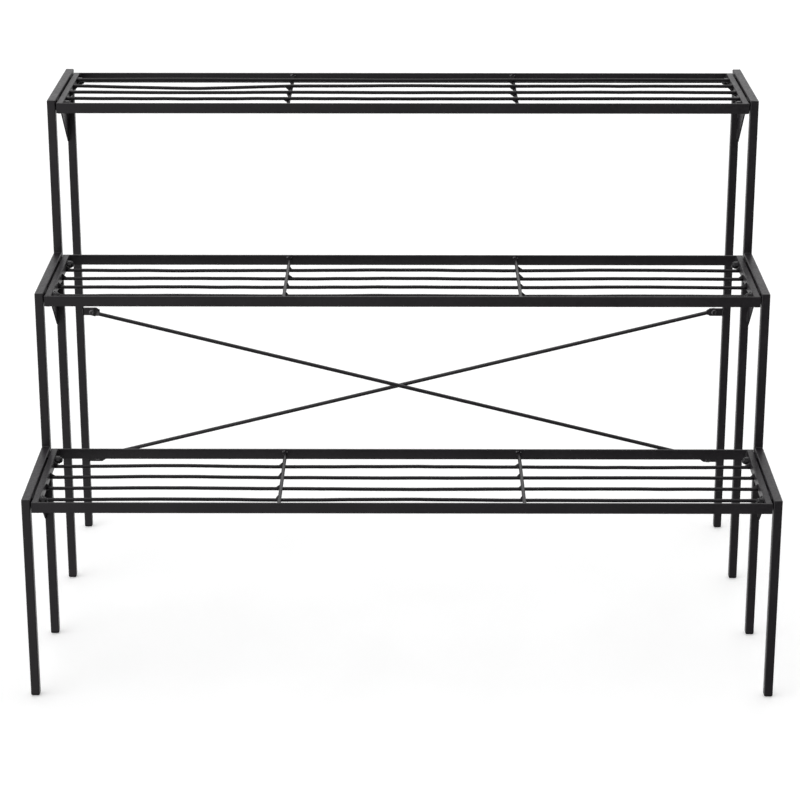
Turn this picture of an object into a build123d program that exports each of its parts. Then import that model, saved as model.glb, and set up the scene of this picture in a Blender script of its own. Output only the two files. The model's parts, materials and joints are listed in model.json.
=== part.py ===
from build123d import *
import os

# Three-tier stepped flower display rack, bolted together from welded steel
# side frames, welded shelf panels and a crossed pair of brace rods.
# Millimetres, +X to the right, +Y to the back, +Z up.
# Origin: middle of the footprint, on the floor.

# ------------------------------------------------------------ driving sizes
WIDTH = 1030.0          # over the outer faces of the two side frames
TUBE = 12.0             # square tube of the side frames
TUBE_WALL = 1.2
TUBE_R = 1.2            # outer corner radius of the square tube
PITCH = 196.0           # front face of one leg to front face of the next
DEPTH = 3 * PITCH + TUBE
TIER_TOP = (294.0, 524.0, 754.0)   # top of the side rails, tier by tier
HEIGHT = TIER_TOP[2]

FOOT_H = 3.0            # visible thickness of the plastic foot cap
FOOT_PLUG = 15.0        # depth of its plug inside the leg
FOOT_FILLET = 1.1

GUSSET_LEG = 98.0       # length of the gusset along the rail and the leg
GUSSET_T = 2.0
GUSSET_TIP = 3.0        # blunt width of its two tips

SHELF_DROP = 4.0        # shelf top below the side rail top
SHELF_DEPTH = 200.0     # over the front and rear flat bars
PLATE_T = 1.5           # stud plate between side rail and shelf end rail
PLATE_W = 24.0
PLATE_DROP = 3.0        # plate top below the side rail top
PLATE_BELOW = 7.0       # plate below the stud axis
BAR_T = 3.0             # front and rear flat bars of a shelf
BAR_H = 15.0
END_W = 9.0             # shelf end rail, rectangular tube
END_H = 15.0
END_WALL = 1.0
END_R = 1.0
WIRE_D = 5.0
WIRE_Y = (41.0, 81.33, 121.67, 162.0)   # wire axes behind the shelf front
CROSS_D = 5.0
CROSS_DROP = 7.5        # cross rod axis below the shelf top, at half height
WIRES_OVER = (False, False, True)     # the top shelf is fitted the other way up
CROSS_X = (-167.0, 167.0)

STUD_D = 6.0
STUD_HOLE = 6.4
STUD_HEAD_D = 8.0       # flat head, flush in the stud plate
STUD_HEAD_H = 0.9
STUD_Y = (25.5, 174.5)  # stud axes behind the shelf front
STUD_DROP = 7.5         # stud axis below the shelf top, at half height
WASHER_OD = 12.0
WASHER_T = 1.2
CAP_AF = 10.0           # domed cap nut, across flats
CAP_HEX_H = 5.0
CAP_H = 9.0
CAP_DOME_D = 9.4
CAP_BORE = 6.5

BRACE_D = 6.0
BRACE_Z = 243.5         # height of the crossing
BRACE_RISE = 123.5      # bolt height above or below the crossing
BRACE_BOLT_X = 489.0
BRACE_EYE_T = 3.2       # flattened rod end
BRACE_EYE_W = 11.0
BRACE_EYE_L = 7.0
BRACE_FLARE = 5.0       # pressed length between the rod and its eye
TAB_L = 26.0
TAB_H = 12.0
TAB_CLIP = (5.5, 3.6)   # clipped corners at its free end
TAB_T = 3.0
TAB_Y = 290.3           # middle of the tab's thickness
M5_D = 5.0
M5_HOLE = 5.4
M5_HEAD_D = 9.0
M5_HEAD_H = 2.8
M5_NUT_AF = 8.0
M5_NUT_H = 4.0

XO = WIDTH / 2          # outer face of a side frame
XI = XO - TUBE          # its inner face
XC = XO - TUBE / 2
XS = XI - PLATE_T       # outer face of a shelf panel
XE = XS - END_W         # inner face of a shelf end rail
LEG_Y = tuple(-DEPTH / 2 + k * PITCH for k in range(4))   # leg front faces
SHELF_TOP = tuple(z - SHELF_DROP for z in TIER_TOP)

LEG_NAMES = ("front_leg", "second_leg", "third_leg", "rear_leg")
FOOT_NAMES = ("front_foot", "second_foot", "third_foot", "rear_foot")
TIER_NAMES = ("lower", "middle", "upper")

nodes = {}


# ------------------------------------------------------------------ helpers
def tube_sketch(w, h, wall, r):
    return RectangleRounded(w, h, r) - RectangleRounded(
        w - 2 * wall, h - 2 * wall, max(r - wall, 0.25)
    )


def tube_up(cx, cy, z0, z1):
    """Square tube standing along Z."""
    plane = Plane(origin=(cx, cy, z0), x_dir=(1, 0, 0), z_dir=(0, 0, 1))
    return extrude(plane * tube_sketch(TUBE, TUBE, TUBE_WALL, TUBE_R), z1 - z0)


def tube_back(cx, cz, y0, y1, w, h, wall, r):
    """Rectangular tube lying along Y, w wide in X and h tall in Z."""
    plane = Plane(origin=(cx, y0, cz), x_dir=(-1, 0, 0), z_dir=(0, 1, 0))
    return extrude(plane * tube_sketch(w, h, wall, r), y1 - y0)


def rod_x(d, x0, x1, y, z):
    plane = Plane(origin=(x0, y, z), x_dir=(0, 1, 0), z_dir=(1, 0, 0))
    return extrude(plane * Circle(d / 2), x1 - x0)


def rod_y(d, y0, y1, x, z):
    plane = Plane(origin=(x, y0, z), x_dir=(1, 0, 0), z_dir=(0, 1, 0))
    return extrude(plane * Circle(d / 2), y1 - y0)


def keep_below(solid, y, z, normal):
    """Cut a solid by the plane through (y, z) and keep the side that the
    normal points away from."""
    cut = Plane(origin=(0, y, z), z_dir=normal)
    return split(solid, bisect_by=cut, keep=Keep.BOTTOM)


def add(name, *solids):
    nodes[name] = list(solids)


# -------------------------------------------------------------- side frames
# Every leg reaches the floor.  The top of a leg is mitred to the rail of its
# tier, and the rear end of the rail butts against the next leg.
for side, s in (("left", -1), ("right", 1)):
    cx = s * XC
    for k in range(4):
        y0 = LEG_Y[k]
        top = TIER_TOP[min(k, 2)]
        leg = tube_up(cx, y0 + TUBE / 2, FOOT_H, top)
        if k < 3:
            leg = keep_below(leg, y0, top, (0, 1, 1))
        else:
            leg = keep_below(leg, y0 + TUBE, top, (0, -1, 1))
        add(f"{side}_{LEG_NAMES[k]}", leg)

        # foot: rounded cap with a ribbed hollow plug pushed into the tube
        bore = TUBE - 2 * TUBE_WALL
        cap = extrude(RectangleRounded(TUBE, TUBE, TUBE_R), FOOT_H)
        cap = fillet(cap.faces().sort_by(Axis.Z)[0].edges(), FOOT_FILLET)
        plug = Pos(0, 0, FOOT_H) * extrude(
            RectangleRounded(bore - 0.8, bore - 0.8, 0.4)
            - RectangleRounded(bore - 3.4, bore - 3.4, 0.4),
            FOOT_PLUG,
        )
        foot = cap + plug
        for rib_z in (4.0, 8.0, 12.0):
            foot = foot + Pos(0, 0, FOOT_H + rib_z) * extrude(
                RectangleRounded(bore - 0.1, bore - 0.1, 0.4)
                - RectangleRounded(bore - 3.4, bore - 3.4, 0.4),
                0.8,
            )
        add(f"{side}_{FOOT_NAMES[k]}", Pos(cx, y0 + TUBE / 2, 0) * foot)

    for k in range(3):
        y0, y1, top = LEG_Y[k], LEG_Y[k + 1], TIER_TOP[k]
        if k == 2:
            y1 = y1 + TUBE
        rail = tube_back(cx, top - TUBE / 2, y0, y1, TUBE, TUBE, TUBE_WALL, TUBE_R)
        rail = keep_below(rail, y0, top, (0, -1, -1))
        if k == 2:
            rail = keep_below(rail, y1, top, (0, 1, -1))
        add(f"{side}_{TIER_NAMES[k]}_rail", rail)

        # gusset plate under the rear end of the rail, near the outer face
        yg, zg = LEG_Y[k + 1], top - TUBE
        pts = (
            (yg, zg),
            (yg - GUSSET_LEG, zg),
            (yg - GUSSET_LEG, zg - GUSSET_TIP),
            (yg - GUSSET_TIP, zg - GUSSET_LEG),
            (yg, zg - GUSSET_LEG),
        )
        xg = -XO if s < 0 else XO - GUSSET_T
        plane = Plane(origin=(xg, 0, 0), x_dir=(0, 1, 0), z_dir=(1, 0, 0))
        add(
            f"{side}_{TIER_NAMES[k]}_gusset",
            extrude(plane * make_face(Polyline(*pts, close=True)), GUSSET_T),
        )

# ------------------------------------------------------------ shelf panels
# Two rectangular end rails, closed by a full-width flat bar at the front and
# another at the rear.  Two cross rods join the flat bars at half height.  Four
# wires run between the end rails, welded under the cross rods, or over them on
# the top shelf.  Each panel is bolted to four studs, which stand in small plates
# welded to the inner faces of the side rails.
studs, plates, washers, cap_nuts = [], [], [], []

hex_part = extrude(RegularPolygon(CAP_AF / 2, 6, major_radius=False), CAP_HEX_H)
chamfered = extrude(Circle(CAP_AF / 2 * 1.11), CAP_HEX_H)
chamfered = chamfer(chamfered.faces().sort_by(Axis.Z)[-1].edges(), 0.6)
hex_part = hex_part & chamfered
dome_r = CAP_DOME_D / 2
dome = extrude(Circle(dome_r), CAP_H)
dome = fillet(dome.faces().sort_by(Axis.Z)[-1].edges(), dome_r - 0.35)
cap_nut = hex_part + dome - extrude(Circle(STUD_D / 2 + 0.1), CAP_BORE)

ring_washer = extrude(Circle(WASHER_OD / 2) - Circle(STUD_HOLE / 2), WASHER_T)

for k in range(3):
    tier = TIER_NAMES[k]
    y0, y1 = LEG_Y[k], LEG_Y[k] + SHELF_DEPTH
    zs = SHELF_TOP[k]

    bar = extrude(Rectangle(2 * XS, BAR_T), BAR_H)
    bar = fillet(bar.edges().filter_by(Axis.X), 0.5)
    add(f"{tier}_shelf_front_bar", Pos(0, y0 + BAR_T / 2, zs - BAR_H) * bar)
    add(f"{tier}_shelf_rear_bar", Pos(0, y1 - BAR_T / 2, zs - BAR_H) * bar)

    for side, s in (("left", -1), ("right", 1)):
        end = tube_back(
            s * (XS - END_W / 2), zs - END_H / 2, y0 + BAR_T, y1 - BAR_T,
            END_W, END_H, END_WALL, END_R,
        )
        for sy in STUD_Y:
            ys, zc = y0 + sy, zs - STUD_DROP
            xa, xb = sorted((s * (XE - 1), s * (XS + 1)))
            end = end - rod_x(STUD_HOLE, xa, xb, ys, zc)

            # plate on the side rail, with a seat for the head of the stud
            zt, zb = TIER_TOP[k] - PLATE_DROP, zc - PLATE_BELOW
            half, c = PLATE_W / 2, 3.0
            pts = (
                (ys - half, zt), (ys + half, zt), (ys + half, zb + c),
                (ys + half - c, zb), (ys - half + c, zb), (ys - half, zb + c),
            )
            plane = Plane(origin=(min(s * XI, s * XS), 0, 0), x_dir=(0, 1, 0), z_dir=(1, 0, 0))
            plate = extrude(plane * make_face(Polyline(*pts, close=True)), PLATE_T)
            plate = plate - rod_x(STUD_D + 0.2, xa, xb + 3, ys, zc) - rod_x(STUD_D + 0.2, xa - 3, xb, ys, zc)
            ha, hb = sorted((s * (XI + 1), s * (XI - STUD_HEAD_H)))
            plates.append(plate - rod_x(STUD_HEAD_D + 0.2, ha, hb, ys, zc))

            # stud: flat head in the plate, shank through the end rail and the
            # washer into the cap nut
            tip = XE - WASHER_T - CAP_BORE + 0.6
            xa, xb = sorted((s * XI, s * tip))
            stud = rod_x(STUD_D, xa, xb, ys, zc)
            tip_face = stud.faces().sort_by(Axis.X)[-1 if s < 0 else 0]
            stud = chamfer(tip_face.edges(), 0.7)
            ha, hb = sorted((s * XI, s * (XI - STUD_HEAD_H)))
            studs.append(stud + rod_x(STUD_HEAD_D, ha, hb, ys, zc))

            # washer and nut, axis pointing to the middle of the rack
            def seat(x):
                return Plane(origin=(x, ys, zc), x_dir=(0, 1, 0), z_dir=(-s, 0, 0))

            washers.append(seat(s * XE) * ring_washer)
            cap_nuts.append(seat(s * (XE - WASHER_T)) * cap_nut)
        add(f"{tier}_shelf_{side}_end_rail", end)

    zr = zs - CROSS_DROP
    apart = (WIRE_D + CROSS_D) / 2
    zw = zr + apart if WIRES_OVER[k] else zr - apart
    add(f"{tier}_shelf_wires", *[rod_x(WIRE_D, -XE, XE, y0 + wy, zw) for wy in WIRE_Y])
    add(
        f"{tier}_shelf_cross_rods",
        *[rod_y(CROSS_D, y0 + BAR_T, y1 - BAR_T, x, zr) for x in CROSS_X],
    )

add("shelf_studs", *studs)
add("shelf_stud_plates", *plates)
add("shelf_washers", *washers)
add("shelf_cap_nuts", *cap_nuts)

# ------------------------------------------------------------- cross brace
# Four tabs welded to the inner faces of the rear legs.  One rod is bolted to
# the front of its two tabs, the other to the rear of its two tabs, so that
# the rods pass each other at the crossing.
tab_front = TAB_Y - TAB_T / 2
tab_rear = TAB_Y + TAB_T / 2
for level, dz in (("upper", 1), ("lower", -1)):
    for side, s in (("left", -1), ("right", 1)):
        zc = BRACE_Z + dz * BRACE_RISE
        ca, cb = TAB_CLIP
        pts = (
            (s * XI, zc - TAB_H / 2),
            (s * XI, zc + TAB_H / 2),
            (s * (XI - TAB_L + ca), zc + TAB_H / 2),
            (s * (XI - TAB_L), zc + TAB_H / 2 - cb),
            (s * (XI - TAB_L), zc - TAB_H / 2 + cb),
            (s * (XI - TAB_L + ca), zc - TAB_H / 2),
        )
        plane = Plane(origin=(0, tab_front, 0), x_dir=(1, 0, 0), z_dir=(0, -1, 0))
        tab = extrude(plane * make_face(Polyline(*pts, close=True)), -TAB_T)
        tab = tab - rod_y(M5_HOLE, tab_front - 1, tab_rear + 1, s * BRACE_BOLT_X, zc)
        add(f"{level}_{side}_brace_tab", tab)

length = 2 * (BRACE_BOLT_X**2 + BRACE_RISE**2) ** 0.5
half = length / 2
axis_off = BRACE_D / 2 + 0.1 - BRACE_EYE_T / 2   # rod axis from the middle of the eye


def brace_rod(side):
    """Rod along X about its middle, axis on Y = 0.  The ends are flattened from
    one side, so that the eyes lie against the tabs, towards +Y or -Y."""
    ye = side * axis_off
    neck = half - BRACE_EYE_L - BRACE_FLARE
    rod = rod_x(BRACE_D, -neck, neck, 0, 0)
    for s in (-1, 1):
        # flat eye with a round end
        plate = Pos(s * (half - BRACE_EYE_L / 2), ye, 0) * Box(
            BRACE_EYE_L, BRACE_EYE_T, BRACE_EYE_W
        )
        plate = plate + rod_y(
            BRACE_EYE_W, ye - BRACE_EYE_T / 2, ye + BRACE_EYE_T / 2, s * half, 0
        )
        # pressed transition from the round section to the flat
        xa = s * (half - BRACE_EYE_L + 0.4)
        xb = s * neck
        pa = Plane(origin=(xa, ye, 0), x_dir=(0, 1, 0), z_dir=(s, 0, 0))
        pb = Plane(origin=(xb, 0, 0), x_dir=(0, 1, 0), z_dir=(s, 0, 0))
        flare = loft([pb * Circle(BRACE_D / 2), pa * Ellipse(BRACE_EYE_T / 2 - 0.3, BRACE_EYE_W / 2 - 0.3)])
        rod = rod + flare + plate
        rod = rod - rod_y(M5_HOLE, -10, 10, s * half, 0)
    return rod


axis_front = tab_front - BRACE_EYE_T / 2 - axis_off
axis_rear = tab_rear + BRACE_EYE_T / 2 + axis_off
from_level = Vector(BRACE_BOLT_X, 0, BRACE_RISE).get_angle(Vector(1, 0, 0))
# positive turn about Y lowers the +X end
add("brace_rod_front", Pos(0, axis_front, BRACE_Z) * Rot(0, from_level, 0) * brace_rod(1))
add("brace_rod_rear", Pos(0, axis_rear, BRACE_Z) * Rot(0, -from_level, 0) * brace_rod(-1))

bolts, nuts = [], []
m5_head = extrude(Circle(M5_HEAD_D / 2), M5_HEAD_H)
m5_head = fillet(m5_head.faces().sort_by(Axis.Z)[-1].edges(), 1.6)
m5_head = m5_head - Pos(0, 0, M5_HEAD_H - 1.6) * extrude(
    RegularPolygon(1.5, 6, major_radius=False), 3
)
m5_nut = extrude(RegularPolygon(M5_NUT_AF / 2, 6, major_radius=False), M5_NUT_H)
m5_round = extrude(Circle(M5_NUT_AF / 2 * 1.11), M5_NUT_H)
m5_round = chamfer(
    [m5_round.faces().sort_by(Axis.Z)[i].edges()[0] for i in (0, -1)], 0.5
)
m5_nut = (m5_nut & m5_round) - extrude(Circle(M5_D / 2 + 0.1), M5_NUT_H)
for s in (-1, 1):
    for dz in (1, -1):
        x, z = s * BRACE_BOLT_X, BRACE_Z + dz * BRACE_RISE
        on_front = s * dz < 0
        if on_front:
            seat_f, seat_r = tab_front - BRACE_EYE_T, tab_rear
        else:
            seat_f, seat_r = tab_front, tab_rear + BRACE_EYE_T
        head = Plane(origin=(x, seat_f, z), x_dir=(1, 0, 0), z_dir=(0, -1, 0)) * m5_head
        shank = rod_y(M5_D, seat_f, seat_r + M5_NUT_H + 0.6, x, z)
        bolts.append(head + shank)
        nuts.append(Plane(origin=(x, seat_r, z), x_dir=(1, 0, 0), z_dir=(0, 1, 0)) * m5_nut)
add("brace_bolts", *bolts)
add("brace_nuts", *nuts)

# ------------------------------------------------------------------- export
os.makedirs("parts", exist_ok=True)
for name, solids in nodes.items():
    flat = []
    for item in solids:
        flat.extend(item.solids())
    shape = flat[0] if len(flat) == 1 else Compound(children=flat)
    export_step(shape, f"parts/{name}.step")
print(len(nodes), "nodes,", sum(len(v) for v in nodes.values()), "pieces")
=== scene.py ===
import bpy, bmesh, json, math, random
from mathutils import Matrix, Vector


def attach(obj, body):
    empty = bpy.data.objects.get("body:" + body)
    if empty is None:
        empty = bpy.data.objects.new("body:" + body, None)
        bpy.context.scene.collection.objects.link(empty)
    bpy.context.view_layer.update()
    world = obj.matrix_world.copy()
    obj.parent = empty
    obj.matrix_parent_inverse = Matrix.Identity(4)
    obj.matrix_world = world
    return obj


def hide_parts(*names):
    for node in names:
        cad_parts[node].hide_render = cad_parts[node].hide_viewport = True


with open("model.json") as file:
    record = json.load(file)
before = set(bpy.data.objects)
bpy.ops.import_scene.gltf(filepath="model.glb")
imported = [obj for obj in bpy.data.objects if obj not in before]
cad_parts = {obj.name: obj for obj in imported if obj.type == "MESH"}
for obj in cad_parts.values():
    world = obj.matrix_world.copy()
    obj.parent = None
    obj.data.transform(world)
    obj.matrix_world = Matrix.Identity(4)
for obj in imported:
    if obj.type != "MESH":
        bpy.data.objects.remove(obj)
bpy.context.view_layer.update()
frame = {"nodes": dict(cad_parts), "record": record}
nodes = frame["nodes"]
slot_of = {p["node"]: p["material_slot"] for p in frame["record"]["subparts"]}

# ------------------------------------------------------------------ sizes (m)
XO, XI, XS, XE = 0.515, 0.503, 0.5015, 0.4925
TUBE = 0.012
LEG_Y = (-0.300, -0.104, 0.092, 0.288)
TOP = (0.294, 0.524, 0.754)
DEPTH = 0.200
BAR_T, BAR_H = 0.003, 0.015
WIRE_Y = (0.041, 0.08133, 0.12167, 0.162)
WIRE_R, ROD_R = 0.0025, 0.0025
ROD_X = (-0.167, 0.167)
GUSSET, GUSSET_T = 0.098, 0.002
TIERS = ("lower", "middle", "upper")
SHELF = tuple(z - 0.004 for z in TOP)
ROD_Z = tuple(z - 0.0075 for z in SHELF)
WIRE_UP = (-1, -1, 1)            # wires under the rods, over them on the top shelf
WIRE_Z = tuple(z + u * 0.005 for z, u in zip(ROD_Z, WIRE_UP))
TAB_Y, TAB_T, TAB_H = 0.2903, 0.003, 0.012
TAB_Z = (0.2435 + 0.1235, 0.2435 - 0.1235)


# ------------------------------------------------------------------ materials
def new_material(name):
    m = bpy.data.materials.new(name)
    m.use_nodes = True
    m.node_tree.nodes.clear()
    return m, m.node_tree.nodes, m.node_tree.links


def ramp(nodes_, stops):
    r = nodes_.new("ShaderNodeValToRGB")
    while len(r.color_ramp.elements) > 1:
        r.color_ramp.elements.remove(r.color_ramp.elements[-1])
    r.color_ramp.elements[0].position = stops[0][0]
    r.color_ramp.elements[0].color = (*stops[0][1], 1)
    for pos, col in stops[1:]:
        e = r.color_ramp.elements.new(pos)
        e.color = (*col, 1)
    return r


def noise(n, l, vec, scale, detail=2.0, rough=0.5):
    t = n.new("ShaderNodeTexNoise")
    t.inputs["Scale"].default_value = scale
    t.inputs["Detail"].default_value = detail
    t.inputs["Roughness"].default_value = rough
    l.new(vec, t.inputs["Vector"])
    return t


def spread(n, l, value, lo, hi, a=0.3, b=0.7):
    r = n.new("ShaderNodeMapRange")
    r.inputs["From Min"].default_value = a
    r.inputs["From Max"].default_value = b
    r.inputs["To Min"].default_value = lo
    r.inputs["To Max"].default_value = hi
    l.new(value, r.inputs["Value"])
    return r


def blend(n, l, a, b, k):
    """a * (1 - k) + b * k"""
    m1 = n.new("ShaderNodeMath")
    m1.operation = "MULTIPLY"
    m1.inputs[1].default_value = k
    l.new(b, m1.inputs[0])
    m2 = n.new("ShaderNodeMath")
    m2.operation = "MULTIPLY_ADD"
    m2.inputs[1].default_value = 1.0 - k
    l.new(a, m2.inputs[0])
    l.new(m1.outputs[0], m2.inputs[2])
    return m2.outputs[0]


def coated(name, dark, mid, light, rough_lo, rough_hi, peel, peel_depth, stretch=None, grain=0.5, spec=0.5):
    """Satin powder coat: cloudy tone, fine grain, orange peel, dry specks."""
    m, n, l = new_material(name)
    out = n.new("ShaderNodeOutputMaterial")
    b = n.new("ShaderNodeBsdfPrincipled")
    l.new(b.outputs[0], out.inputs[0])
    co = n.new("ShaderNodeTexCoord").outputs["Object"]
    if stretch:
        mp = n.new("ShaderNodeMapping")
        mp.inputs["Scale"].default_value = stretch
        l.new(co, mp.inputs["Vector"])
        fine_co = mp.outputs[0]
    else:
        fine_co = co
    cloud = noise(n, l, co, 14.0, 4.0, 0.55)
    grit = noise(n, l, co, 300.0, 3.0, 0.7)
    tone = ramp(n, [(0.36, dark), (0.51, mid), (0.66, light)])
    l.new(blend(n, l, cloud.outputs["Fac"], grit.outputs["Fac"], grain), tone.inputs[0])
    l.new(tone.outputs[0], b.inputs["Base Color"])
    patch = noise(n, l, co, 42.0, 3.0, 0.6)
    rr = spread(n, l, blend(n, l, patch.outputs["Fac"], grit.outputs["Fac"], 0.8), rough_lo, rough_hi, 0.40, 0.60)
    l.new(rr.outputs[0], b.inputs["Roughness"])
    b.inputs["Specular IOR Level"].default_value = spec
    skin = noise(n, l, fine_co, peel, 2.0, 0.5)
    speck = noise(n, l, co, peel * 2.7, 1.0, 0.5)
    b1 = n.new("ShaderNodeBump")
    b1.inputs["Strength"].default_value = 0.6
    b1.inputs["Distance"].default_value = peel_depth
    l.new(skin.outputs["Fac"], b1.inputs["Height"])
    b2 = n.new("ShaderNodeBump")
    b2.inputs["Strength"].default_value = 0.6
    b2.inputs["Distance"].default_value = peel_depth * 0.4
    l.new(speck.outputs["Fac"], b2.inputs["Height"])
    l.new(b1.outputs[0], b2.inputs["Normal"])
    l.new(b2.outputs[0], b.inputs["Normal"])
    b.inputs["IOR"].default_value = 1.5
    return m


def plastic(name):
    """Moulded polyethylene: soft mottled skin with faint vertical draw lines."""
    m, n, l = new_material(name)
    out = n.new("ShaderNodeOutputMaterial")
    b = n.new("ShaderNodeBsdfPrincipled")
    l.new(b.outputs[0], out.inputs[0])
    co = n.new("ShaderNodeTexCoord").outputs["Object"]
    cloud = noise(n, l, co, 160.0, 3.0)
    tone = ramp(n, [(0.3, (0.0025, 0.0025, 0.0028)), (0.7, (0.0065, 0.0065, 0.0070))])
    l.new(cloud.outputs["Fac"], tone.inputs[0])
    l.new(tone.outputs[0], b.inputs["Base Color"])
    rr = spread(n, l, cloud.outputs["Fac"], 0.48, 0.62)
    l.new(rr.outputs[0], b.inputs["Roughness"])
    b.inputs["Specular IOR Level"].default_value = 0.22
    mp = n.new("ShaderNodeMapping")
    mp.inputs["Scale"].default_value = (1.0, 1.0, 0.12)
    l.new(co, mp.inputs["Vector"])
    draw = noise(n, l, mp.outputs[0], 1800.0, 2.0)
    bump = n.new("ShaderNodeBump")
    bump.inputs["Strength"].default_value = 0.4
    bump.inputs["Distance"].default_value = 0.00008
    l.new(draw.outputs["Fac"], bump.inputs["Height"])
    l.new(bump.outputs[0], b.inputs["Normal"])
    return m


def zinc(name, dark, mid, light, rough_lo, rough_hi, metallic):
    """Zinc plate: faintly cloudy metal, turned marks under the film."""
    m, n, l = new_material(name)
    out = n.new("ShaderNodeOutputMaterial")
    b = n.new("ShaderNodeBsdfPrincipled")
    l.new(b.outputs[0], out.inputs[0])
    co = n.new("ShaderNodeTexCoord").outputs["Object"]
    cloud = noise(n, l, co, 240.0, 3.0)
    tone = ramp(n, [(0.3, dark), (0.55, mid), (0.75, light)])
    l.new(cloud.outputs["Fac"], tone.inputs[0])
    l.new(tone.outputs[0], b.inputs["Base Color"])
    rr = spread(n, l, cloud.outputs["Fac"], rough_lo, rough_hi)
    l.new(rr.outputs[0], b.inputs["Roughness"])
    b.inputs["Metallic"].default_value = metallic
    mp = n.new("ShaderNodeMapping")
    mp.inputs["Scale"].default_value = (5.0, 1.0, 1.0)
    l.new(co, mp.inputs["Vector"])
    turn = noise(n, l, mp.outputs[0], 900.0, 2.0)
    bump = n.new("ShaderNodeBump")
    bump.inputs["Strength"].default_value = 0.35
    bump.inputs["Distance"].default_value = 0.00006
    l.new(turn.outputs["Fac"], bump.inputs["Height"])
    l.new(bump.outputs[0], b.inputs["Normal"])
    return m


MATS = {
    "coated_steel": coated("coated_steel", (0.0085, 0.0070, 0.0089), (0.0135, 0.0112, 0.0140), (0.0205, 0.0172, 0.0212),
                           0.31, 0.49, 850.0, 0.00010),
    "coated_rod": coated("coated_rod", (0.0085, 0.0070, 0.0089), (0.0118, 0.0098, 0.0122), (0.0165, 0.0140, 0.0170),
                         0.27, 0.39, 1100.0, 0.00003, stretch=(0.35, 0.35, 1.0)),
    "wire": coated("coated_wire", (0.0080, 0.0066, 0.0084), (0.0108, 0.0090, 0.0112), (0.0150, 0.0127, 0.0155),
                   0.29, 0.42, 1100.0, 0.00003, stretch=(0.35, 1.0, 1.0), spec=0.30),
    "weld": coated("coated_weld", (0.0070, 0.0060, 0.0074), (0.0105, 0.0090, 0.0109), (0.0155, 0.0132, 0.0160),
                   0.28, 0.42, 1400.0, 0.00008),
    # Stud plates: a much darker, duller copy of the powder coat, painted shade for the narrow deep gap they sit in, not
    # a different finish.
    "plate": coated("plate_painted_shade", (0.0030, 0.0026, 0.0032), (0.0045, 0.0038, 0.0047), (0.0070, 0.0060, 0.0073),
                    0.50, 0.62, 850.0, 0.00008, spec=0.25),
    "foot_plastic": plastic("foot_plastic"),
    "black_fastener": zinc("black_fastener", (0.010, 0.0095, 0.011), (0.018, 0.017, 0.019), (0.032, 0.030, 0.033), 0.17, 0.28, 0.35),
    "worn_fastener": zinc("worn_fastener", (0.055, 0.053, 0.056), (0.115, 0.111, 0.117), (0.215, 0.209, 0.215), 0.20, 0.34, 0.85),
    "bare_weld": zinc("bare_weld", (0.130, 0.127, 0.133), (0.230, 0.225, 0.234), (0.360, 0.353, 0.362), 0.24, 0.36, 0.90),
}

for name, o in nodes.items():
    # The stud plates take the darker plate coat, which paints in the shade of their gap; the brace bolts take worn
    # zinc.
    m = MATS[{"shelf_stud_plates": "plate", "brace_bolts": "worn_fastener"}.get(name, slot_of[name])]
    o.data.materials.clear()
    o.data.materials.append(m)


# ---------------------------------------------------------------- mesh helpers
def sweep(bm, pts, radii, seg):
    """Closed round bar along a line of points, one radius for each point."""
    n = len(pts)
    tang = [(pts[min(i + 1, n - 1)] - pts[max(i - 1, 0)]).normalized() for i in range(n)]
    ref = Vector((0, 0, 1)) if abs(tang[0].z) < 0.9 else Vector((1, 0, 0))
    u = tang[0].cross(ref).normalized()
    rings = []
    for p, t, r in zip(pts, tang, radii):
        u = (u - t * u.dot(t)).normalized()
        v = t.cross(u)
        rings.append([
            bm.verts.new(p + (u * math.cos(2 * math.pi * j / seg) + v * math.sin(2 * math.pi * j / seg)) * r)
            for j in range(seg)
        ])
    for a, b in zip(rings, rings[1:]):
        for j in range(seg):
            bm.faces.new((a[j], a[(j + 1) % seg], b[(j + 1) % seg], b[j]))
    bm.faces.new(list(reversed(rings[0])))
    bm.faces.new(rings[-1])


def bead(bm, p0, p1, r, rng, ripple=0.0022):
    """Weld bead from p0 to p1, rippled along its run and tapered at its ends."""
    p0, p1 = Vector(p0), Vector(p1)
    run = (p1 - p0).length
    n = max(7, int(run / 0.0006))
    d = (p1 - p0).normalized()
    side = d.cross(Vector((0.3, 0.5, 0.8))).normalized()
    ph, wob = rng.uniform(0, 6.28), rng.uniform(0.6, 1.4)
    pts, radii = [], []
    for i in range(n + 1):
        t = i / n
        s = t * run
        pts.append(p0 + d * s + side * (0.00016 * math.sin(s / 0.0041 * wob + ph)))
        end = min(1.0, (min(s, run - s) + 0.0004) / 0.0014)
        radii.append(r * math.sqrt(end) * (0.86 + 0.14 * abs(math.sin(math.pi * s / ripple + ph))) * rng.uniform(0.97, 1.03))
    sweep(bm, pts, radii, 10)


def web(bm, a0, da, b0, db, la, lb, r, rng, rows=4):
    """Weld filling the corner between two bars: overlapping beads from one bar
    to the other, each a little further out of the corner."""
    a0, da, b0, db = Vector(a0), Vector(da), Vector(b0), Vector(db)
    la *= rng.uniform(0.88, 1.12)
    lb *= rng.uniform(0.88, 1.12)
    for i in range(rows):
        s = 0.16 + 0.84 * i / (rows - 1)
        a, b = a0 + da * la * s, b0 + db * lb * s
        c = (a0 + b0) / 2 + ((a + b) - (a0 + b0)) * 0.40
        pts, radii = [], []
        for j in range(9):
            t = j / 8
            pts.append(a * (1 - t) ** 2 + c * 2 * t * (1 - t) + b * t * t)
            radii.append(r * (1.0 - 0.42 * s) * (0.80 + 0.28 * math.sin(math.pi * t)) * rng.uniform(0.95, 1.05))
        sweep(bm, pts, radii, 8)


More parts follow.
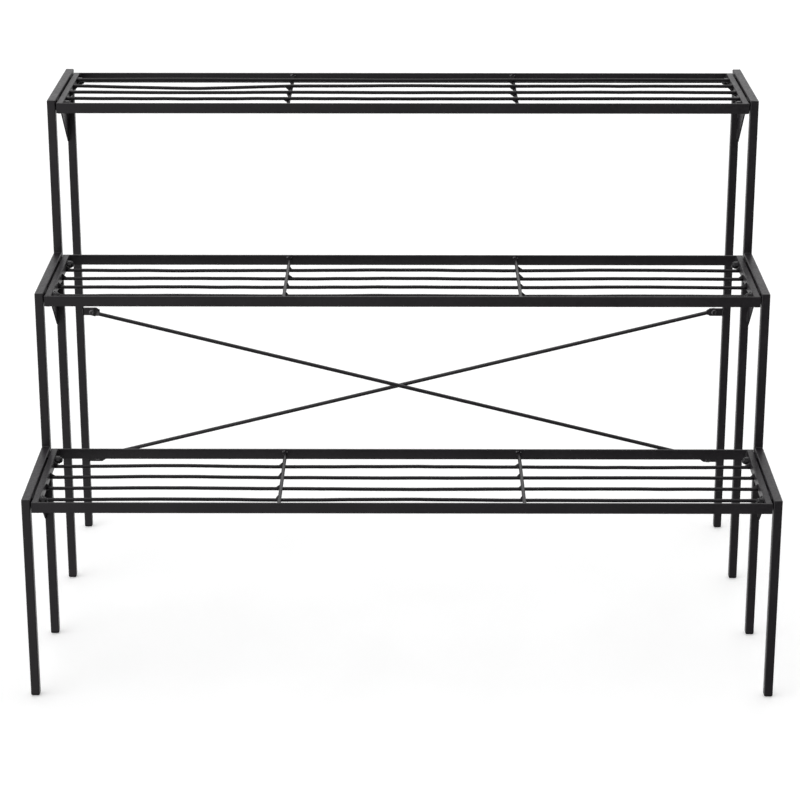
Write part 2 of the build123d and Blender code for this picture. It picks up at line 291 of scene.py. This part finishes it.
def lump(bm, c, r, rng, squash=(1, 1, 1)):
    """Small rounded drop of weld metal."""
    res = bmesh.ops.create_icosphere(bm, subdivisions=2, radius=r)
    ph = rng.uniform(0, 6.28)
    for v in res["verts"]:
        k = 1 + 0.10 * math.sin(3 * v.co.x / r + ph) + 0.08 * math.sin(4 * v.co.y / r + 2 * ph)
        v.co = Vector(c) + Vector((v.co.x * squash[0], v.co.y * squash[1], v.co.z * squash[2])) * k


def piece(name, bm, mat):
    bmesh.ops.recalc_face_normals(bm, faces=bm.faces)
    me = bpy.data.meshes.new(name)
    bm.to_mesh(me)
    bm.free()
    for p in me.polygons:
        p.use_smooth = True
    me.materials.append(mat)
    o = bpy.data.objects.new(name, me)
    bpy.context.scene.collection.objects.link(o)
    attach(o, "root")
    return o


# ----------------------------------------------------------------- shelf wires
# Drawn wire is never dead straight: each span between two welds bows a little.
ANCHORS = (-XE, ROD_X[0], ROD_X[1], XE)
BOW = {
    (0, 0, 0): (0.0, 0.0010), (0, 0, 1): (0.0003, 0.0010), (0, 0, 2): (0.0, -0.0001),
    (0, 1, 0): (0.0, 0.0010), (0, 1, 1): (0.0004, -0.0009), (0, 1, 2): (0.0, 0.0003),
    (0, 2, 0): (0.0, 0.0014), (0, 2, 1): (0.0003, -0.0004), (0, 2, 2): (0.0, 0.0004),
    (0, 3, 0): (0.0, 0.0013), (0, 3, 1): (0.0, 0.0005), (0, 3, 2): (-0.0003, -0.0005),
    (1, 0, 0): (0.0, 0.0006), (1, 0, 1): (0.0002, 0.0007), (1, 0, 2): (0.0, 0.0006),
    (1, 1, 0): (0.0, 0.0006), (1, 1, 1): (-0.0003, 0.0008), (1, 1, 2): (0.0, 0.0010),
    (1, 2, 0): (0.0, 0.0005), (1, 2, 1): (0.0, 0.0008), (1, 2, 2): (0.0003, 0.0008),
    (1, 3, 0): (0.0, -0.0004), (1, 3, 1): (0.0003, 0.0008), (1, 3, 2): (0.0, 0.0013),
    (2, 0, 0): (0.0, -0.0004), (2, 0, 1): (0.0, -0.0003), (2, 0, 2): (0.0, 0.0002),
    (2, 1, 0): (0.0002, -0.0008), (2, 1, 1): (0.0, -0.0004), (2, 1, 2): (0.0, 0.0006),
    (2, 2, 0): (0.0, -0.0002), (2, 2, 1): (0.0, 0.0007), (2, 2, 2): (0.0, 0.0003),
}
BENT = {(2, 2, 0): (-0.308, -0.0036)}     # one wire of the top shelf is bent down
for k, tier in enumerate(TIERS):
    bm = bmesh.new()
    for i, wy in enumerate(WIRE_Y):
        rng = random.Random(100 * k + i)
        bows = []
        for span in range(3):
            b = (rng.uniform(-0.0012, 0.0012), rng.uniform(-0.0012, 0.0012))
            bows.append(BOW.get((k, i, span), b))
        kinks = [(rng.uniform(-0.45, 0.45), rng.uniform(0.02, 0.05), rng.uniform(-0.0004, 0.0004)) for _ in range(6)]
        waves = [(rng.uniform(0.060, 0.110), rng.uniform(0, 6.28), rng.uniform(0.00005, 0.00016)),
                 (rng.uniform(0.036, 0.060), rng.uniform(0, 6.28), rng.uniform(0.00001, 0.00005))]
        swell = rng.uniform(-0.45, 0.45)
        pts = []
        n = 246
        for j in range(n + 1):
            x = -XE + 2 * XE * j / n
            dy = dz = 0.0
            for span in range(3):
                a, b = ANCHORS[span], ANCHORS[span + 1]
                if a <= x <= b:
                    w = math.sin(math.pi * (x - a) / (b - a))
                    dy, dz = bows[span][0] * w * w, bows[span][1] * w * w
                    for x0, wd, amp in kinks:
                        dz += amp * w * math.exp(-(((x - x0) / wd) ** 2))
                    hold = min(1.0, min(x - a, b - x) / 0.035)
                    hold *= hold * (3 - 2 * hold) * (0.35 + 0.65 * math.exp(-(((x - swell) / 0.22) ** 2)))
                    for run, ph, amp in waves:
                        dz += hold * amp * math.sin(2 * math.pi * x / run + ph)
                    if (k, i, span) in BENT:
                        xv, deep = BENT[k, i, span]
                        t = (x - a) / (xv - a) if x < xv else (b - x) / (b - xv)
                        dz += deep * (math.sqrt(0.006 + 1.0) - math.sqrt(0.006 + (1 - t) ** 2)) / (math.sqrt(1.006) - math.sqrt(0.006))
            pts.append(Vector((x, LEG_Y[k] + wy + dy, WIRE_Z[k] + dz)))
        sweep(bm, pts, [WIRE_R] * len(pts), 14)
    o = piece(f"{tier}_shelf_drawn_wires", bm, MATS["wire"])
    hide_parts(f"{tier}_shelf_wires")

# ------------------------------------------------------------------ shelf welds
WELD_X = (-1, 1, -1)             # which side of the cross rod carries the weld
for k, tier in enumerate(TIERS):
    rng = random.Random(40 + k)
    bm = bmesh.new()
    y0, y1, zs = LEG_Y[k], LEG_Y[k] + DEPTH, SHELF[k]
    up, sx = -WIRE_UP[k], WELD_X[k]
    zw, zr = WIRE_Z[k], ROD_Z[k]
    for wy in WIRE_Y:
        y = y0 + wy
        for xr in ROD_X:
            web(bm,
                (xr + sx * 0.0020, y, zw + up * 0.0016), (sx, 0, 0),
                (xr + sx * 0.0018, y, zw + up * 0.0030), (0, 0, up),
                rng.uniform(0.0022, 0.0062), rng.uniform(0.0022, 0.0042), 0.0019, rng)
        for s in (-1, 1):
            web(bm,
                (s * (XE - 0.0002), y, zw + up * 0.0012), (-s, 0, 0),
                (s * (XE + 0.0003), y, zw + up * 0.0016), (0, 0, up),
                rng.uniform(0.0050, 0.0078), rng.uniform(0.0040, 0.0056), 0.0021, rng)
    for xr in ROD_X:
        for yb, d in ((y0 + BAR_T, 1), (y1 - BAR_T, -1)):
            for q in range(5):
                a = math.pi * (0.05 + 0.9 * q / 4) + (0 if k < 2 else math.pi)
                lump(bm, (xr + 0.0022 * math.cos(a), yb + d * 0.0003, zr - 0.0022 * math.sin(a)), 0.0013, rng, (1, 0.8, 1))
    for s in (-1, 1):
        for yb, d in ((y0 + BAR_T, 1), (y1 - BAR_T, -1)):
            bead(bm, (s * XE, yb, zs - BAR_H + 0.0008), (s * XE, yb, zs - 0.0012), 0.0015, rng)
            bead(bm, (s * (XE + 0.001), yb, zs - BAR_H), (s * (XS - 0.001), yb, zs - BAR_H), 0.0011, rng)
    piece(f"{tier}_shelf_welds", bm, MATS["weld"])
    bm = bmesh.new()
    for xr in ROD_X:
        lump(bm, (xr - 0.0030, y1 - BAR_T, zr + 0.0042), 0.0015, rng, (1.15, 0.6, 0.9))
        lump(bm, (xr - 0.0012, y1 - BAR_T, zr + 0.0050), 0.0010, rng, (1.0, 0.6, 0.9))
        lump(bm, (xr + 0.0026, y1 - BAR_T, zr + 0.0036), 0.0009, rng, (1.0, 0.6, 0.9))
    piece(f"{tier}_shelf_weld_specks", bm, MATS["bare_weld"])

# ------------------------------------------------------------- side frame welds
for side, s in (("left", -1), ("right", 1)):
    rng = random.Random(70 + s)
    bm = bmesh.new()
    for k in range(3):
        y0, yn, top = LEG_Y[k], LEG_Y[k + 1], TOP[k]
        # mitre: low dressed seam on the inner face, fillet in the inside corner
        bead(bm, (s * (XI + 0.0006), y0 + 0.0008, top - 0.0008), (s * (XI + 0.0006), y0 + TUBE - 0.0004, top - TUBE + 0.0004), 0.0010, rng)
        bead(bm, (s * (XI + 0.001), y0 + TUBE, top - TUBE), (s * (XO - 0.0015), y0 + TUBE, top - TUBE), 0.0016, rng)
        if k < 2:
            # rail end against the next leg
            bead(bm, (s * (XI + 0.001), yn, top), (s * (XO - 0.001), yn, top), 0.0013, rng)
            bead(bm, (s * (XI + 0.0006), yn, top - TUBE + 0.001), (s * (XI + 0.0006), yn, top - 0.001), 0.0010, rng)
            bead(bm, (s * (XI + 0.001), yn, top - TUBE), (s * (XO - 0.0035), yn, top - TUBE), 0.0014, rng)
        else:
            bead(bm, (s * (XI + 0.0006), yn + TUBE - 0.0008, top - 0.0008), (s * (XI + 0.0006), yn + 0.0004, top - TUBE + 0.0004), 0.0010, rng)
            bead(bm, (s * (XI + 0.001), yn, top - TUBE), (s * (XO - 0.0035), yn, top - TUBE), 0.0016, rng)
        # gusset: stitch welds along the rail and the leg, on the inner side
        xg = s * (XO - GUSSET_T)
        for a, b in ((0.006, 0.024), (0.046, 0.062), (0.078, 0.095)):
            bead(bm, (xg, yn - a, top - TUBE), (xg, yn - b, top - TUBE), 0.0015, rng)
            bead(bm, (xg, yn, top - TUBE - a), (xg, yn, top - TUBE - b), 0.0015, rng)
    for zt in TAB_Z:
        for y in (TAB_Y - TAB_T / 2, TAB_Y + TAB_T / 2):
            bead(bm, (s * XI, y, zt - TAB_H / 2 + 0.001), (s * XI, y, zt + TAB_H / 2 - 0.001), 0.0014, rng)
        for dz in (-TAB_H / 2, TAB_H / 2):
            bead(bm, (s * XI, TAB_Y - 0.0016, zt + dz), (s * XI, TAB_Y + 0.0016, zt + dz), 0.0012, rng)
    piece(f"{side}_frame_welds", bm, MATS["weld"])

# -------------------------------------------------------------------- foot caps
# Moulded cap with a well rounded underside and a fine step where it meets the
# tube, on a ribbed hollow plug.
CAP = []
for j in range(9):
    a = math.pi / 2 * j / 8
    CAP.append((0.0024 * (1 - math.cos(a)), 0.0060 - 0.0024 * (1 - math.sin(a)), 0.0022 - 0.0010 * math.sin(a)))
CAP += [(0.00272, 0.0060, 0.0012), (0.0030, 0.00574, 0.0012), (0.0030, 0.0044, 0.0004)]
for z in (0.0070, 0.0110, 0.0150):
    CAP += [(z, 0.0044, 0.0004), (z, 0.00475, 0.0004), (z + 0.0008, 0.00475, 0.0004), (z + 0.0008, 0.0044, 0.0004)]
CAP += [(0.0180, 0.0044, 0.0004), (0.0180, 0.0031, 0.0004), (0.0030, 0.0031, 0.0004)]
for side, s in (("left", -1), ("right", 1)):
    for k, leg in enumerate(("front", "second", "third", "rear")):
        bm = bmesh.new()
        cx, cy = s * (XO + XI) / 2, LEG_Y[k] + TUBE / 2
        rings = []
        for z, half, r in CAP:
            ring = []
            for q, (qx, qy) in enumerate(((1, 1), (-1, 1), (-1, -1), (1, -1))):
                for j in range(7):
                    a = math.pi / 2 * (q + j / 6)
                    ring.append(bm.verts.new((cx + qx * (half - r) + r * math.cos(a), cy + qy * (half - r) + r * math.sin(a), z)))
            rings.append(ring)
        for ra, rb in zip(rings, rings[1:]):
            for j in range(len(ra)):
                bm.faces.new((ra[j], ra[(j + 1) % len(ra)], rb[(j + 1) % len(ra)], rb[j]))
        bm.faces.new(list(reversed(rings[0])))
        bm.faces.new(rings[-1])
        o = piece(f"{side}_{leg}_foot_cap", bm, MATS["foot_plastic"])
        o.data.set_sharp_from_angle(angle=math.radians(32))
        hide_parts(f"{side}_{leg}_foot")

# ------------------------------------------------------------------ brace bolts
# Button head with a hexagon socket and a chamfered threaded end, 0.8 mm pitch.
BOLT_SEG, BOLT_END, PITCH = 48, 0.0108, 0.0008


def thread_radius(t, a):
    ph = (t / PITCH - a / (2 * math.pi)) % 1.0
    cut = min(1.0, max(0.0, (0.4375 - abs(ph - 0.5)) / 0.3125))
    return min(0.0025 - 0.00048 * cut, 0.00202 + (BOLT_END - t) * 1.1)


bm = bmesh.new()
for s in (-1, 1):
    for i, zt in enumerate(TAB_Z):
        turn = random.Random(90 + 2 * s + i).uniform(0, math.pi / 3)
        on_front = s * (1 - 2 * i) < 0
        cx, y0 = s * 0.489, TAB_Y - TAB_T / 2 - (0.0032 if on_front else 0.0)
        angles = [2 * math.pi * j / BOLT_SEG for j in range(BOLT_SEG)]
        socket = [0.0015 / math.cos(a % (math.pi / 3) - math.pi / 6) for a in angles]
        rows = [(-0.0012, socket), (-0.00270, socket)]
        for t, r in ((-0.0028, 0.00186), (-0.0028, 0.0029)):
            rows.append((t, [r] * BOLT_SEG))
        for j in range(1, 9):
            a = math.pi / 2 * j / 8
            rows.append((-0.0012 - 0.0016 * math.cos(a), [0.0029 + 0.0016 * math.sin(a)] * BOLT_SEG))
        for t, r in ((-0.00014, 0.0045), (0.0, 0.00438), (0.0, 0.0025), (0.0069, 0.0025)):
            rows.append((t, [r] * BOLT_SEG))
        for j in range(79):
            t = 0.0069 + 0.00005 * j
            if j:
                rows.append((t, [thread_radius(t, a) for a in angles]))
        rings = []
        for t, radii in rows:
            rings.append([
                bm.verts.new((cx + r * math.cos(a + turn), y0 + t, zt + r * math.sin(a + turn)))
                for r, a in zip(radii, angles)
            ])
        for ra, rb in zip(rings, rings[1:]):
            for j in range(BOLT_SEG):
                bm.faces.new((ra[j], ra[(j + 1) % BOLT_SEG], rb[(j + 1) % BOLT_SEG], rb[j]))
        bm.faces.new(list(reversed(rings[0])))
        bm.faces.new(rings[-1])
o = piece("brace_button_bolts", bm, MATS["worn_fastener"])
o.data.set_sharp_from_angle(angle=math.radians(32))
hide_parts("brace_bolts")

# ------------------------------------------------------------------- the stage
bm = bmesh.new()
bmesh.ops.create_circle(bm, cap_ends=True, segments=96, radius=30.0)
me = bpy.data.meshes.new("floor")
bm.to_mesh(me)
bm.free()
floor = bpy.data.objects.new("floor", me)
floor.location.z = -0.0004
bpy.context.scene.collection.objects.link(floor)
m, n, l = new_material("floor_pale")
out = n.new("ShaderNodeOutputMaterial")
b = n.new("ShaderNodeBsdfPrincipled")
l.new(b.outputs[0], out.inputs[0])
co = n.new("ShaderNodeTexCoord").outputs["Object"]
grain = noise(n, l, co, 6.0, 3.0)
tone = ramp(n, [(0.3, (0.86, 0.86, 0.86)), (0.7, (0.90, 0.90, 0.90))])
l.new(grain.outputs["Fac"], tone.inputs[0])
l.new(tone.outputs[0], b.inputs["Base Color"])
b.inputs["Roughness"].default_value = 0.9
b.inputs["Specular IOR Level"].default_value = 0.1
b.inputs["Emission Color"].default_value = (1, 1, 1, 1)
b.inputs["Emission Strength"].default_value = 0.25
me.materials.append(m)

bm = bmesh.new()
bmesh.ops.create_uvsphere(bm, u_segments=64, v_segments=32, radius=29.0)
bmesh.ops.reverse_faces(bm, faces=bm.faces)
me = bpy.data.meshes.new("backdrop")
bm.to_mesh(me)
bm.free()
for p in me.polygons:
    p.use_smooth = True
backdrop = bpy.data.objects.new("backdrop", me)
bpy.context.scene.collection.objects.link(backdrop)
m, n, l = new_material("backdrop_pale")
out = n.new("ShaderNodeOutputMaterial")
e = n.new("ShaderNodeEmission")
e.inputs["Color"].default_value = (1, 1, 1, 1)
e.inputs["Strength"].default_value = 1.0
l.new(e.outputs[0], out.inputs[0])
me.materials.append(m)
for o in (floor, backdrop):
    o.visible_diffuse = False
    o.visible_glossy = False
    o.visible_transmission = False
    o.visible_shadow = False

# soft studio light: a smooth surround, stronger from the left, the back and above
w = bpy.data.worlds.new("studio")
bpy.context.scene.world = w
w.use_nodes = True
n, l = w.node_tree.nodes, w.node_tree.links
n.clear()
out = n.new("ShaderNodeOutputWorld")
bg = n.new("ShaderNodeBackground")
l.new(bg.outputs[0], out.inputs[0])
sep = n.new("ShaderNodeSeparateXYZ")
l.new(n.new("ShaderNodeTexCoord").outputs["Generated"], sep.inputs[0])


def gain(sock, k, add):
    a = n.new("ShaderNodeMath")
    a.operation = "MULTIPLY_ADD"
    a.inputs[1].default_value = k
    l.new(sock, a.inputs[0])
    if isinstance(add, float):
        a.inputs[2].default_value = add
    else:
        l.new(add, a.inputs[2])
    return a.outputs[0]


def limit(sock, lo, hi):
    r = n.new("ShaderNodeClamp")
    r.inputs["Min"].default_value = lo
    r.inputs["Max"].default_value = hi
    l.new(sock, r.inputs["Value"])
    return r.outputs[0]


front = limit(gain(sep.outputs["X"], -1.36, 0.345), 0.10, 1.05)


def ease(sock, a, b, lo, hi):
    r = n.new("ShaderNodeMapRange")
    r.interpolation_type = "SMOOTHSTEP"
    for name, v in (("From Min", a), ("From Max", b), ("To Min", lo), ("To Max", hi)):
        r.inputs[name].default_value = v
    l.new(sock, r.inputs["Value"])
    return r.outputs[0]


def math_node(op, a, b=None):
    m = n.new("ShaderNodeMath")
    m.operation = op
    l.new(a, m.inputs[0])
    if b is not None:
        l.new(b, m.inputs[1])
    return m.outputs[0]


rear = ease(math_node("ABSOLUTE", sep.outputs["X"]), 0.18, 0.62, 0.90, 0.36)
both = n.new("ShaderNodeMix")
both.data_type = "FLOAT"
l.new(ease(sep.outputs["Y"], -0.35, 0.45, 0.0, 1.0), both.inputs[0])
l.new(front, both.inputs[2])
l.new(rear, both.inputs[3])
above = ease(sep.outputs["Z"], 0.42, 0.92, 0.0, 0.72)
below = ease(sep.outputs["Z"], -0.90, -0.42, 0.22, 1.0)
sides = ease(math_node("ABSOLUTE", sep.outputs["X"]), 0.72, 0.96, 0.0, 0.45)
level = math_node("MULTIPLY", math_node("ADD", math_node("ADD", both.outputs[0], sides), above), below)
l.new(level, bg.inputs["Strength"])
bg.inputs["Color"].default_value = (1, 1, 1, 1)

# ------------------------------------------------------------------ the camera
cam = bpy.data.cameras.new("camera")
cam.sensor_width = 36.0
cam.sensor_fit = "HORIZONTAL"
cam.lens = 109.29
cam.shift_y = -0.12
cam.clip_end = 100.0
camera = bpy.data.objects.new("camera", cam)
camera.location = (0.0092, -3.3346, 1.5717)
camera.rotation_euler = (math.pi / 2 - 0.3177, 0.0, 0.0038)
bpy.context.scene.collection.objects.link(camera)
bpy.context.scene.camera = camera
bpy.context.scene.view_settings.view_transform = "Standard"
bpy.context.scene.view_settings.look = "None"
